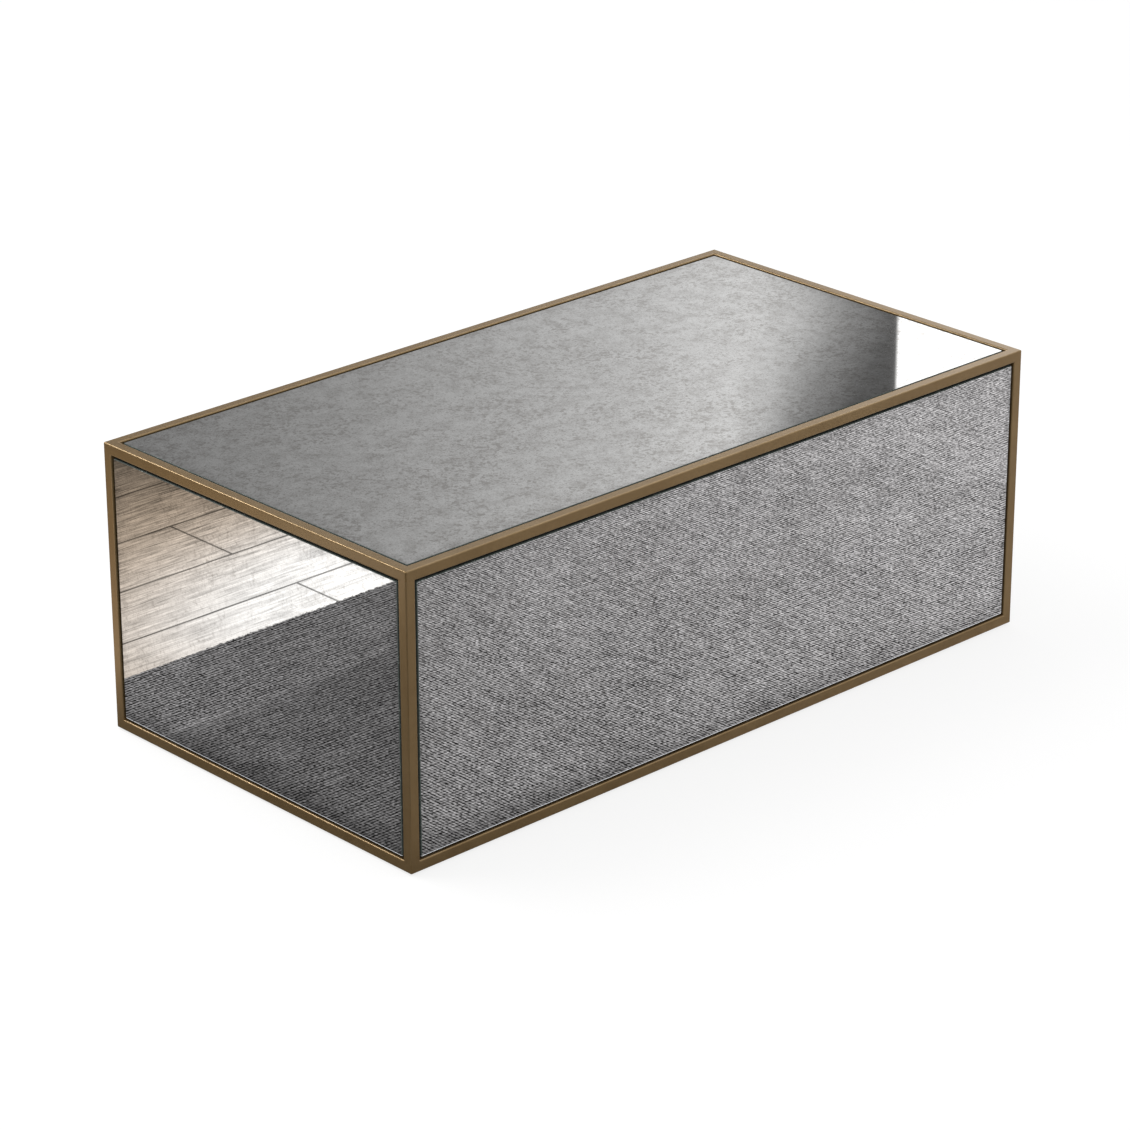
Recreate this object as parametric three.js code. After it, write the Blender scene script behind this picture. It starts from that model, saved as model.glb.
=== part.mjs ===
// A block coffee table: antiqued mirror panels set in a welded frame of square steel tube.
// Millimetres, +Z up, X along the long side, the front long face towards -Y.
// The origin is on the floor under the middle of the table.

import * as THREE from "three";

// Whole table
const tableLength = 1200;
const tableWidth = 635;
const frameHeight = 436; // frame only, without the feet
const standHeight = 3; // floor to frame, with the feet screwed right in
const touchGap = 0.3; // left between two pieces that touch

// Square tube of the frame
const tubeSize = 16;
const tubeWall = 1.5;
const tubeCorner = 2; // outside corner radius
const boreCorner = 0.6; // inside corner radius
const ribOffset = 200; // middle of the table to a rib and to the cross tube under it

// Mirror panels and what carries them
const glassThickness = 5;
const glassGap = 4; // dark channel between the glass and the tube
const glassArris = 0.7; // ground edge of the glass
const boardThickness = 6;
const boardGap = 1; // between a backing board and the tube
const barWidth = 15; // flat bar of the ledges and the side strips
const barThickness = 3;
const barEndGap = 2; // between the end of a side strip and the tube it points at

// Inner board and ribs
const baseThickness = 6;
const baseGap = 1; // between the base board and the line of the tubes' inner faces
const ribThickness = 12;
const notchGap = 1; // between a rib and the ledges it straddles

// Corner plates, their screws and the levelling feet
const plateSize = 55;
const plateCut = 20; // cut-off inner corner
const plateThickness = 4;
const screwEdge = 8.5; // middle of the screw to the plate's cut edge
const studRadius = 3.6;
const studLength = 32;
const studClearance = 2.4; // round the stud where it passes through the base board
const nutAcross = 13;
const nutHeight = 6.5;
const screwRadius = 1.75;
const screwHeadRadius = 4;
const screwHeadHeight = 2.4;
const padRadius = 16;
const padHeight = 5;
const padEdge = 1; // rounding of the pad's rim
const padGap = 2.3; // between a pad and the rails beside it
const hubRadius = 9;
const padFloor = 2; // nylon left under the end of the stud
const roundSides = 24;

// Levels and depths that follow from the sizes above. A depth is counted inwards from the
// outside of the tube, and is the same on every face.
const frameBottom = standHeight;
const frameTop = frameBottom + frameHeight;
const barDepth = tubeSize - barThickness; // the bars end flush with the tube's inner face
const boardDepth = barDepth - touchGap - boardThickness;
const glassDepth = boardDepth - touchGap - glassThickness;
const plateTop = frameBottom + tubeSize;
const plateBottom = plateTop - plateThickness;
const nutBottom = plateBottom - touchGap - nutHeight;
const baseBottom = plateTop + touchGap;
const baseTop = baseBottom + baseThickness;

// Where the stud and the screw pass through a corner plate, from the plate's two outer edges.
const studInset = padRadius + padGap - touchGap;
const screwInset = plateSize - plateCut / 2 - screwEdge / Math.SQRT2;

// Finishes
const finishes = {
  bronze: { color: 0x6a5639, roughness: 0.42, metalness: 0.75 },
  mirror: { color: 0xb9bbba, roughness: 0.06, metalness: 1.0 },
  board: { color: 0x16140f, roughness: 0.85, metalness: 0.0 },
  fibreboard: { color: 0x8d6d4a, roughness: 0.85, metalness: 0.0 },
  zinc: { color: 0x9c9fa1, roughness: 0.4, metalness: 0.9 },
  nylon: { color: 0x151515, roughness: 0.6, metalness: 0.0 },
};

const table = new THREE.Group();

function addMesh(parent, name, geometry, finish) {
  const mesh = new THREE.Mesh(geometry, new THREE.MeshStandardMaterial(finishes[finish]));
  mesh.name = name;
  parent.add(mesh);
  return mesh;
}

function groupAt(parent, x, y, z, turn) {
  const group = new THREE.Group();
  group.position.set(x, y, z);
  group.rotation.z = turn;
  parent.add(group);
  return group;
}

// Outlines

function rectangle(width, height) {
  const shape = new THREE.Shape();
  shape.moveTo(-width / 2, -height / 2);
  shape.lineTo(width / 2, -height / 2);
  shape.lineTo(width / 2, height / 2);
  shape.lineTo(-width / 2, height / 2);
  shape.closePath();
  return shape;
}

// A square with round corners, started on its right-hand side.
function roundedSquare(size, corner, OutlineClass) {
  const outline = new OutlineClass();
  const reach = size / 2 - corner;
  const quarter = Math.PI / 2;
  outline.moveTo(size / 2, -reach);
  [[1, 1], [-1, 1], [-1, -1], [1, -1]].forEach(([x, y], index) => {
    outline.absarc(x * reach, y * reach, corner, index * quarter, (index + 1) * quarter, false);
  });
  return outline;
}

function hole(x, y, radius) {
  return new THREE.Path().absarc(x, y, radius, 0, 2 * Math.PI, true);
}

// Plain solids

function extrude(shape, depth, curveSegments = roundSides / 4) {
  return new THREE.ExtrudeGeometry(shape, { depth, bevelEnabled: false, curveSegments });
}

// A square tube along X, centred, open at both ends.
function squareTube(length) {
  const section = roundedSquare(tubeSize, tubeCorner, THREE.Shape);
  section.holes.push(roundedSquare(tubeSize - 2 * tubeWall, boreCorner, THREE.Path));
  const geometry = extrude(section, length, 3).translate(0, 0, -length / 2);
  const alongX = new THREE.Matrix4().makeBasis(
    new THREE.Vector3(0, 1, 0),
    new THREE.Vector3(0, 0, 1),
    new THREE.Vector3(1, 0, 0),
  );
  return geometry.applyMatrix4(alongX);
}

// The same tube with both ends mitred: each end is drawn back by its distance from the -Y side.
function mitredTube(length) {
  const geometry = squareTube(length);
  const position = geometry.attributes.position;
  const mitreGap = touchGap / Math.SQRT2;
  for (let i = 0; i < position.count; i++) {
    const drawnBack = position.getY(i) + tubeSize / 2 + mitreGap;
    position.setX(i, Math.sign(position.getX(i)) * (length / 2 - drawnBack));
  }
  return geometry;
}

// A sheet of glass with its edges ground, its back on z = 0.
function glassSheet(width, height) {
  const geometry = new THREE.ExtrudeGeometry(
    rectangle(width - 2 * glassArris, height - 2 * glassArris),
    {
      depth: glassThickness - 2 * glassArris,
      bevelThickness: glassArris,
      bevelSize: glassArris,
      bevelSegments: 1,
    },
  );
  return geometry.translate(0, 0, glassArris);
}

// A box centred in X and Y, its lower face on z = 0.
function box(width, depth, height) {
  return new THREE.BoxGeometry(width, depth, height).translate(0, 0, height / 2);
}

// A solid of revolution about Z from [radius, height] pairs that start and end on the axis.
function turned(profile) {
  const points = profile.map(([radius, height]) => new THREE.Vector2(radius, height));
  return new THREE.LatheGeometry(points, roundSides).rotateX(Math.PI / 2);
}

// The four sides of the table, each turned from the front one about the middle.
// `ends` names what lies at its own -X and +X end.
const long = { run: tableLength, reach: tableWidth / 2 };
const short = { run: tableWidth, reach: tableLength / 2 };
const sides = [
  { name: "front", ends: ["left", "right"], turn: 0, ...long },
  { name: "right", ends: ["front", "back"], turn: Math.PI / 2, ...short },
  { name: "back", ends: ["right", "left"], turn: Math.PI, ...long },
  { name: "left", ends: ["back", "front"], turn: -Math.PI / 2, ...short },
];

// The four corners, each turned so that its own +X and +Y point into the table.
const corners = [
  { name: "front_left", turn: 0, x: -1, y: -1 },
  { name: "front_right", turn: Math.PI / 2, x: 1, y: -1 },
  { name: "back_right", turn: Math.PI, x: 1, y: 1 },
  { name: "back_left", turn: -Math.PI / 2, x: -1, y: 1 },
];

// Frame: a mitred ring at the top and at the bottom, four posts and two cross tubes.

function buildFrame() {
  for (const side of sides) {
    const about = groupAt(table, 0, 0, 0, side.turn);
    for (const [level, z] of [
      ["top", frameTop - tubeSize / 2],
      ["bottom", frameBottom + tubeSize / 2],
    ]) {
      const rail = addMesh(about, `rail_${level}_${side.name}`, mitredTube(side.run), "bronze");
      rail.position.set(0, -side.reach + tubeSize / 2, z);
    }
  }
  const postLength = frameHeight - 2 * (tubeSize + touchGap);
  for (const corner of corners) {
    const post = addMesh(table, `post_${corner.name}`, squareTube(postLength), "bronze");
    post.rotation.y = Math.PI / 2;
    post.position.set(
      corner.x * (tableLength / 2 - tubeSize / 2),
      corner.y * (tableWidth / 2 - tubeSize / 2),
      frameBottom + frameHeight / 2,
    );
  }
  const crossLength = tableWidth - 2 * (tubeSize + touchGap);
  for (const [name, x] of [["left", -ribOffset], ["right", ribOffset]]) {
    const cross = addMesh(table, `cross_tube_${name}`, squareTube(crossLength), "bronze");
    cross.rotation.z = Math.PI / 2;
    cross.position.set(x, 0, frameBottom + tubeSize / 2);
  }
}

// Panels: glass bonded to a backing board, in a face's own frame, where +Z points out of the
// table and z = 0 is the outside of the tube.

function addPanel(face, name, width, height) {
  const glass = glassSheet(width - 2 * glassGap, height - 2 * glassGap);
  addMesh(face, `mirror_${name}`, glass, "mirror").position.z = -glassDepth - glassThickness;
  const board = box(width - 2 * boardGap, height - 2 * boardGap, boardThickness);
  addMesh(face, `backing_board_${name}`, board, "board").position.z = -boardDepth - boardThickness;
}

function buildSidePanels() {
  const height = frameHeight - 2 * tubeSize;
  for (const side of sides) {
    const about = groupAt(table, 0, 0, 0, side.turn);
    const face = groupAt(about, 0, -side.reach, frameBottom + frameHeight / 2, 0);
    face.rotation.x = Math.PI / 2;
    const width = side.run - 2 * tubeSize;
    addPanel(face, side.name, width, height);
    side.ends.forEach((end, index) => {
      const bar = box(barWidth, height - 2 * barEndGap, barThickness);
      const strip = addMesh(face, `fixing_strip_${side.name}_${end}`, bar, "bronze");
      const away = index === 0 ? -1 : 1;
      strip.position.set(away * (width / 2 - touchGap - barWidth / 2), 0, -tubeSize);
    });
  }
}

// The lift-in top panel lies on four ledges. The long ledges run the whole way, and the short
// ones fit between them.
function buildTopPanel() {
  const face = groupAt(table, 0, 0, frameTop, 0);
  addPanel(face, "top", tableLength - 2 * tubeSize, tableWidth - 2 * tubeSize);
  for (const side of sides) {
    const about = groupAt(face, 0, 0, 0, side.turn);
    const endRoom = side.run === long.run ? touchGap : barWidth + 2 * touchGap;
    const bar = box(side.run - 2 * (tubeSize + endRoom), barWidth, barThickness);
    const ledge = addMesh(about, `ledge_${side.name}`, bar, "bronze");
    ledge.position.set(0, -side.reach + tubeSize + touchGap + barWidth / 2, -tubeSize);
  }
}

// Inside: a base board on the corner plates and cross tubes, and two ribs standing on it under
// the top panel, one above each cross tube.

const studDepth = tubeSize + touchGap + studInset; // outside of the frame to a stud's axis
const screwDepth = tubeSize + touchGap + screwInset;

function buildBaseBoard() {
  const edge = tubeSize + baseGap;
  const outline = rectangle(tableLength - 2 * edge, tableWidth - 2 * edge);
  for (const corner of corners) {
    for (const [depth, radius] of [
      [studDepth, studRadius + studClearance],
      [screwDepth, screwRadius + touchGap],
    ]) {
      const x = corner.x * (tableLength / 2 - depth);
      const y = corner.y * (tableWidth / 2 - depth);
      outline.holes.push(hole(x, y, radius));
    }
  }
  addMesh(table, "base_board", extrude(outline, baseThickness, 6), "fibreboard").position.z = baseBottom;
}

function buildRibs() {
  const bottom = baseTop + touchGap;
  const top = frameTop - boardDepth - boardThickness - touchGap;
  const shoulder = frameTop - tubeSize - notchGap;
  const wide = tableWidth / 2 - boardDepth - boardThickness - touchGap;
  const narrow = tableWidth / 2 - tubeSize - touchGap - barWidth - notchGap;
  const outline = new THREE.Shape();
  outline.moveTo(-wide, bottom);
  outline.lineTo(wide, bottom);
  outline.lineTo(wide, shoulder);
  outline.lineTo(narrow, shoulder);
  outline.lineTo(narrow, top);
  outline.lineTo(-narrow, top);
  outline.lineTo(-narrow, shoulder);
  outline.lineTo(-wide, shoulder);
  outline.closePath();
  for (const [name, x] of [["left", -ribOffset], ["right", ribOffset]]) {
    const geometry = extrude(outline, ribThickness).translate(0, 0, -ribThickness / 2);
    const rib = addMesh(table, `rib_${name}`, geometry, "fibreboard");
    rib.position.x = x;
    rib.rotation.order = "ZYX";
    rib.rotation.set(Math.PI / 2, 0, Math.PI / 2);
  }
}

// Corner plates with their weld nuts, the screws that hold the base board down, and the feet.

function cornerPlate() {
  const outline = new THREE.Shape();
  outline.moveTo(0, 0);
  outline.lineTo(plateSize, 0);
  outline.lineTo(plateSize, plateSize - plateCut);
  outline.lineTo(plateSize - plateCut, plateSize);
  outline.lineTo(0, plateSize);
  outline.closePath();
  outline.holes.push(hole(studInset, studInset, studRadius + touchGap));
  outline.holes.push(hole(screwInset, screwInset, screwRadius + touchGap));
  return extrude(outline, plateThickness, 8);
}

function weldNut() {
  const outline = new THREE.Shape();
  const nutCorner = nutAcross / 2 / Math.cos(Math.PI / 6);
  for (let i = 0; i < 6; i++) {
    const angle = (i * Math.PI) / 3;
    const method = i ? "lineTo" : "moveTo";
    outline[method](nutCorner * Math.cos(angle), nutCorner * Math.sin(angle));
  }
  outline.closePath();
  outline.holes.push(hole(0, 0, studRadius + touchGap));
  return extrude(outline, nutHeight, 8);
}

function baseScrew() {
  const shank = touchGap + plateThickness + touchGap + baseThickness;
  const crown = screwHeadHeight / 2;
  return turned([
    [0, 0],
    [screwHeadRadius - crown, 0],
    [screwHeadRadius, crown],
    [screwHeadRadius, screwHeadHeight],
    [screwRadius, screwHeadHeight],
    [screwRadius, screwHeadHeight + shank - screwRadius],
    [0, screwHeadHeight + shank],
  ]);
}

function footPad() {
  const hubTop = nutBottom - touchGap;
  return turned([
    [0, 0],
    [padRadius - padEdge, 0],
    [padRadius, padEdge],
    [padRadius, padHeight - padEdge],
    [padRadius - padEdge, padHeight],
    [hubRadius, padHeight],
    [hubRadius, hubTop],
    [studRadius + touchGap, hubTop],
    [studRadius + touchGap, padFloor],
    [0, padFloor],
  ]);
}

function footStud() {
  const tip = studRadius / 3; // chamfered upper end
  return turned([
    [0, 0],
    [studRadius, 0],
    [studRadius, studLength - tip],
    [studRadius - tip, studLength],
    [0, studLength],
  ]);
}

function buildCorners() {
  const plateDepth = tubeSize + touchGap;
  for (const corner of corners) {
    const x = corner.x * (tableLength / 2 - plateDepth);
    const y = corner.y * (tableWidth / 2 - plateDepth);
    const place = groupAt(table, x, y, 0, corner.turn);
    const nut = addMesh(place, `weld_nut_${corner.name}`, weldNut(), "zinc");
    nut.position.set(studInset, studInset, nutBottom);
    addMesh(place, `corner_plate_${corner.name}`, cornerPlate(), "bronze").position.z = plateBottom;
    const screw = addMesh(place, `base_screw_${corner.name}`, baseScrew(), "zinc");
    screw.position.set(screwInset, screwInset, plateBottom - touchGap - screwHeadHeight);
    const pad = addMesh(place, `foot_pad_${corner.name}`, footPad(), "nylon");
    pad.position.set(studInset, studInset, 0);
    const stud = addMesh(place, `foot_stud_${corner.name}`, footStud(), "zinc");
    stud.position.set(studInset, studInset, padFloor + touchGap);
  }
}

buildFrame();
buildSidePanels();
buildTopPanel();
buildBaseBoard();
buildRibs();
buildCorners();

export default table;
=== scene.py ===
import math

import bpy
import numpy as np
from mathutils import Matrix, Vector


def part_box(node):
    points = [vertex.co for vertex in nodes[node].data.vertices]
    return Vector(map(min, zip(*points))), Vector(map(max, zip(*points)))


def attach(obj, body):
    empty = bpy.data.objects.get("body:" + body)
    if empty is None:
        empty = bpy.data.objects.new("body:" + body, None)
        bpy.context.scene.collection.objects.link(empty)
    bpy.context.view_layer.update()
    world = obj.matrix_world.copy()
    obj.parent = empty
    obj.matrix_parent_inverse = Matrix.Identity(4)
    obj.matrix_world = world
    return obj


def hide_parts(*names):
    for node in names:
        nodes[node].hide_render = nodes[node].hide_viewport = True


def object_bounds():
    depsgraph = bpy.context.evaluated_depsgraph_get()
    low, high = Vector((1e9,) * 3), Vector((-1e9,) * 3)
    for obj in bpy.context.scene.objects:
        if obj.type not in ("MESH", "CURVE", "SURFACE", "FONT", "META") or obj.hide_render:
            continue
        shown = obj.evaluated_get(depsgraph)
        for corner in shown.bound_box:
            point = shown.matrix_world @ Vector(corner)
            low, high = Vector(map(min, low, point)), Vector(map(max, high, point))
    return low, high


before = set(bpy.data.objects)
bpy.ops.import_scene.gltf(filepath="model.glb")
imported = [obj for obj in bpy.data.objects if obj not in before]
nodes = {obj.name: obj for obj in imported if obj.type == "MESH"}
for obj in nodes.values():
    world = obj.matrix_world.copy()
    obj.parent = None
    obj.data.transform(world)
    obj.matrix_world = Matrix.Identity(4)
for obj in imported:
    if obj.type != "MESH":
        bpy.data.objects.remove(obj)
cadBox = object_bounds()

cornerNames = ("front_left", "front_right", "back_right", "back_left")
print("frame loaded:", len(nodes), "parts")


def boxOf(name):
    # lowest and highest corner of a part, as numpy arrays
    low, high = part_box(name)
    return np.array(low), np.array(high)


def gridFaces(rows, columns, wrap=True):
    # quads between neighbouring rows; the columns close into a ring when wrap is true
    row = np.arange(rows - 1)[:, None]
    column = np.arange(columns if wrap else columns - 1)[None, :]
    after = (column + 1) % columns
    corners = [row * columns + column, row * columns + after,
               (row + 1) * columns + after, (row + 1) * columns + column]
    return np.stack(corners, -1).reshape(-1, 4)


def fanFaces(centre, ring, flip=False):
    # triangles from one centre point to every side of a closed ring
    after = np.roll(ring, -1)
    first, second = (after, ring) if flip else (ring, after)
    return np.stack([np.full(len(ring), centre), first, second], -1)


def buildPiece(name, points, faces, materials, body="table", faceMaterial=None,
               marks=None, smoothAngle=32):
    # one mesh from arrays of points and faces; marks are float values for each point
    mesh = bpy.data.meshes.new(name)
    allFaces = [face for group in faces for face in group.tolist()]
    mesh.from_pydata(points.reshape(-1, 3).tolist(), [], allFaces)
    for material in materials:
        mesh.materials.append(material)
    if faceMaterial is not None:
        mesh.polygons.foreach_set("material_index", np.asarray(faceMaterial, np.int32))
    for label, values in (marks or {}).items():
        layer = mesh.attributes.new(label, "FLOAT", "POINT")
        layer.data.foreach_set("value", np.asarray(values, np.float32).ravel())
    mesh.polygons.foreach_set("use_smooth", np.ones(len(mesh.polygons), bool))
    mesh.set_sharp_from_angle(angle=math.radians(smoothAngle))
    mesh.update()
    piece = bpy.data.objects.new(name, mesh)
    bpy.context.scene.collection.objects.link(piece)
    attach(piece, body)
    return piece


class NodeBench:
    # short calls for adding and joining nodes in one tree

    def __init__(self, tree):
        self.tree = tree

    def add(self, kind, **settings):
        node = self.tree.nodes.new(kind)
        for key, value in settings.items():
            setattr(node, key, value)
        return node

    def join(self, source, target):
        self.tree.links.new(source, target)

    def feed(self, socket, value):
        if isinstance(value, bpy.types.NodeSocket):
            self.join(value, socket)
        else:
            socket.default_value = value

    def sums(self, operation, a, b=0.0, c=0.0, clamp=False):
        node = self.add("ShaderNodeMath", operation=operation, use_clamp=clamp)
        for socket, value in zip(node.inputs, (a, b, c)):
            self.feed(socket, value)
        return node.outputs[0]

    def times(self, a, b):
        return self.sums("MULTIPLY", a, b)

    def plus(self, a, b):
        return self.sums("ADD", a, b)

    def minus(self, a, b):
        return self.sums("SUBTRACT", a, b)

    def timesPlus(self, a, b, c):
        return self.sums("MULTIPLY_ADD", a, b, c)

    def ramp(self, value, low, high, toLow=0.0, toHigh=1.0, smooth=True):
        node = self.add("ShaderNodeMapRange",
                        interpolation_type="SMOOTHSTEP" if smooth else "LINEAR")
        for label, number in (("Value", value), ("From Min", low), ("From Max", high),
                              ("To Min", toLow), ("To Max", toHigh)):
            self.feed(node.inputs[label], number)
        return node.outputs["Result"]

    def mix(self, share, a, b):
        node = self.add("ShaderNodeMix", data_type="RGBA")
        self.feed(node.inputs["Factor"], share)
        self.feed(node.inputs[6], a)
        self.feed(node.inputs[7], b)
        return node.outputs[2]

    def noise(self, where, scale, detail=2.0, roughness=0.5, distortion=0.0):
        node = self.add("ShaderNodeTexNoise")
        self.feed(node.inputs["Vector"], where)
        self.feed(node.inputs["Scale"], scale)
        self.feed(node.inputs["Detail"], detail)
        self.feed(node.inputs["Roughness"], roughness)
        self.feed(node.inputs["Distortion"], distortion)
        return node.outputs["Fac"]

    def stretch(self, where, scale=(1, 1, 1), turn=(0, 0, 0), shift=(0, 0, 0)):
        node = self.add("ShaderNodeMapping")
        self.feed(node.inputs["Vector"], where)
        node.inputs["Scale"].default_value = scale
        node.inputs["Rotation"].default_value = [math.radians(a) for a in turn]
        node.inputs["Location"].default_value = shift
        return node.outputs[0]

    def place(self):
        return self.add("ShaderNodeTexCoord").outputs["Object"]

    def mark(self, label):
        return self.add("ShaderNodeAttribute", attribute_name=label).outputs["Fac"]

    def bump(self, height, strength, distance):
        node = self.add("ShaderNodeBump")
        self.feed(node.inputs["Height"], height)
        self.feed(node.inputs["Strength"], strength)
        self.feed(node.inputs["Distance"], distance)
        return node.outputs[0]


def newGroup(name, inputs, outputs):
    # a shader node group with float or vector inputs and float outputs
    tree = bpy.data.node_groups.new(name, "ShaderNodeTree")
    for label, start in inputs:
        kind = "NodeSocketVector" if start is None else "NodeSocketFloat"
        socket = tree.interface.new_socket(label, in_out="INPUT", socket_type=kind)
        if start is not None:
            socket.default_value = start
    for label in outputs:
        tree.interface.new_socket(label, in_out="OUTPUT", socket_type="NodeSocketFloat")
    bench = NodeBench(tree)
    return tree, bench, bench.add("NodeGroupInput").outputs, bench.add("NodeGroupOutput").inputs


def useGroup(bench, tree, **values):
    # places a group; the keyword names are the group's own input names
    node = bench.add("ShaderNodeGroup", node_tree=tree)
    for label, value in values.items():
        bench.feed(node.inputs[label], value)
    return node.outputs


def makeMottle():
    # broad cloudy patches, 0 to 1: two noises, the wide one carrying the fine one
    tree, bench, given, out = newGroup(
        "mottle", (("place", None), ("scale", 12.0), ("contrast", 1.0)), ("patches",))
    wide = bench.noise(given["place"], given["scale"], 4, 0.6, 0.3)
    fine = bench.noise(given["place"], bench.times(given["scale"], 7.3), 3, 0.6)
    both = bench.plus(bench.times(wide, 0.72), bench.times(fine, 0.28))
    away = bench.times(bench.minus(both, 0.5), given["contrast"])
    bench.join(bench.sums("ADD", away, 0.5, clamp=True), out["patches"])
    return tree


def makeSpeckle():
    # small round specks, gathered where a wide noise is high: 1 in a speck, 0 between
    tree, bench, given, out = newGroup(
        "speckle",
        (("place", None), ("speckSize", 0.006), ("clusterSize", 0.08), ("amount", 0.5)),
        ("specks",))
    pitch = bench.sums("DIVIDE", 1.0, given["speckSize"])
    cells = bench.add("ShaderNodeTexVoronoi", feature="F1")
    bench.join(given["place"], cells.inputs["Vector"])
    bench.join(pitch, cells.inputs["Scale"])
    cells.inputs["Randomness"].default_value = 1.0
    cluster = bench.noise(given["place"], bench.sums("DIVIDE", 1.0, given["clusterSize"]), 3, 0.6)
    pick = bench.add("ShaderNodeSeparateColor")
    bench.join(cells.outputs["Color"], pick.inputs[0])
    size = bench.times(bench.sums("POWER", pick.outputs[0], 3.0), given["amount"])
    size = bench.times(size, bench.ramp(cluster, 0.36, 0.66))
    spot = bench.minus(size, cells.outputs["Distance"])
    bench.join(bench.ramp(spot, -0.16, 0.12), out["specks"])
    return tree


def makeDust():
    # thin dust that lies on faces that look up, thicker in soft patches
    tree, bench, given, out = newGroup(
        "dust", (("place", None), ("amount", 0.3), ("scale", 30.0)), ("film",))
    facing = bench.add("ShaderNodeNewGeometry").outputs["Normal"]
    parts = bench.add("ShaderNodeSeparateXYZ")
    bench.join(facing, parts.inputs[0])
    up = bench.ramp(parts.outputs[2], 0.2, 1.0)
    patch = bench.ramp(bench.noise(given["place"], given["scale"], 5, 0.65), 0.3, 0.75)
    bench.join(bench.times(bench.times(up, patch), given["amount"]),
               out["film"])
    return tree


def makeHairlines():
    # fine scratches in two directions: ridges of two stretched noises
    tree, bench, given, out = newGroup(
        "hairlines", (("place", None), ("scale", 40.0), ("amount", 0.5)), ("lines",))
    total = None
    for turn, long in ((17, 30.0), (-41, 22.0), (74, 26.0)):
        where = bench.stretch(given["place"], (1.0, long, 1.0), (0, 0, turn))
        ridge = bench.noise(where, given["scale"], 1, 0.5)
        line = bench.ramp(bench.sums("ABSOLUTE", bench.minus(ridge, 0.5)), 0.0, 0.012,
                          1.0, 0.0)
        broken = bench.ramp(bench.noise(given["place"], bench.times(given["scale"], 0.4)),
                            0.5, 0.7)
        line = bench.times(line, broken)
        total = line if total is None else bench.sums("MAXIMUM", total, line)
    bench.join(bench.times(total, given["amount"]), out["lines"])
    return tree


mottle = makeMottle()
speckle = makeSpeckle()
dust = makeDust()
hairlines = makeHairlines()


def bareMaterial(name):
    material = bpy.data.materials.new(name)
    material.use_nodes = True
    material.node_tree.nodes.clear()
    return material, NodeBench(material.node_tree)


def newMaterial(name):
    material, bench = bareMaterial(name)
    shader = bench.add("ShaderNodeBsdfPrincipled")
    output = bench.add("ShaderNodeOutputMaterial")
    bench.join(shader.outputs[0], output.inputs["Surface"])
    return material, bench, shader.inputs


bronzeLook = {
    "deep": (0.213, 0.130, 0.050, 1),  # shaded side of the powder coat's tone range
    "pale": (0.362, 0.242, 0.109, 1),
    "rubbed": (0.62, 0.47, 0.29, 1),  # where a hand has polished the edge
    "metal": 0.82,
    "roughness": 0.36,
}


def makeBronze():
    material, bench, shader = newMaterial("satinBronze")
    place = bench.place()
    patches = useGroup(bench, mottle, place=place, scale=9.0, contrast=1.1)["patches"]
    grain = bench.noise(place, 420.0, 1, 0.5)
    edge = bench.mark("edge")
    seam = bench.mark("seam")
    film = useGroup(bench, dust, place=place, amount=0.07, scale=26.0)["film"]
    lines = useGroup(bench, hairlines, place=place, scale=60.0, amount=0.35)["lines"]
    base = bench.mix(patches, bronzeLook["deep"], bronzeLook["pale"])
    worn = bench.times(edge, bench.ramp(bench.noise(place, 30.0, 4, 0.6), 0.25, 0.8))
    base = bench.mix(bench.times(worn, 0.22), base, bronzeLook["rubbed"])
    weld = bench.times(seam, bench.ramp(bench.noise(place, 240.0, 3, 0.6), 0.3, 0.7))
    base = bench.mix(bench.times(weld, 0.16), base, (0.09, 0.055, 0.025, 1))
    base = bench.mix(film, base, (0.42, 0.39, 0.34, 1))
    bench.join(base, shader["Base Color"])
    shader["Metallic"].default_value = bronzeLook["metal"]
    rough = bench.plus(bronzeLook["roughness"], bench.times(patches, 0.10))
    rough = bench.minus(rough, bench.times(worn, 0.10))
    rough = bench.plus(rough, bench.times(film, 0.5))
    bench.join(rough, shader["Roughness"])
    height = bench.plus(bench.times(grain, 0.5), bench.times(lines, -0.6))
    bench.join(bench.bump(height, 0.006, 0.0003), shader["Normal"])
    shader["Coat Weight"].default_value = 0.35
    shader["Coat Roughness"].default_value = 0.22
    return material


mirrorLook = {
    "silver": (0.90, 0.90, 0.89, 1),
    "fog": (0.66, 0.65, 0.62, 1),
    "fox": (0.34, 0.315, 0.29, 1),
    "roughness": 0.010,
}


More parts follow.
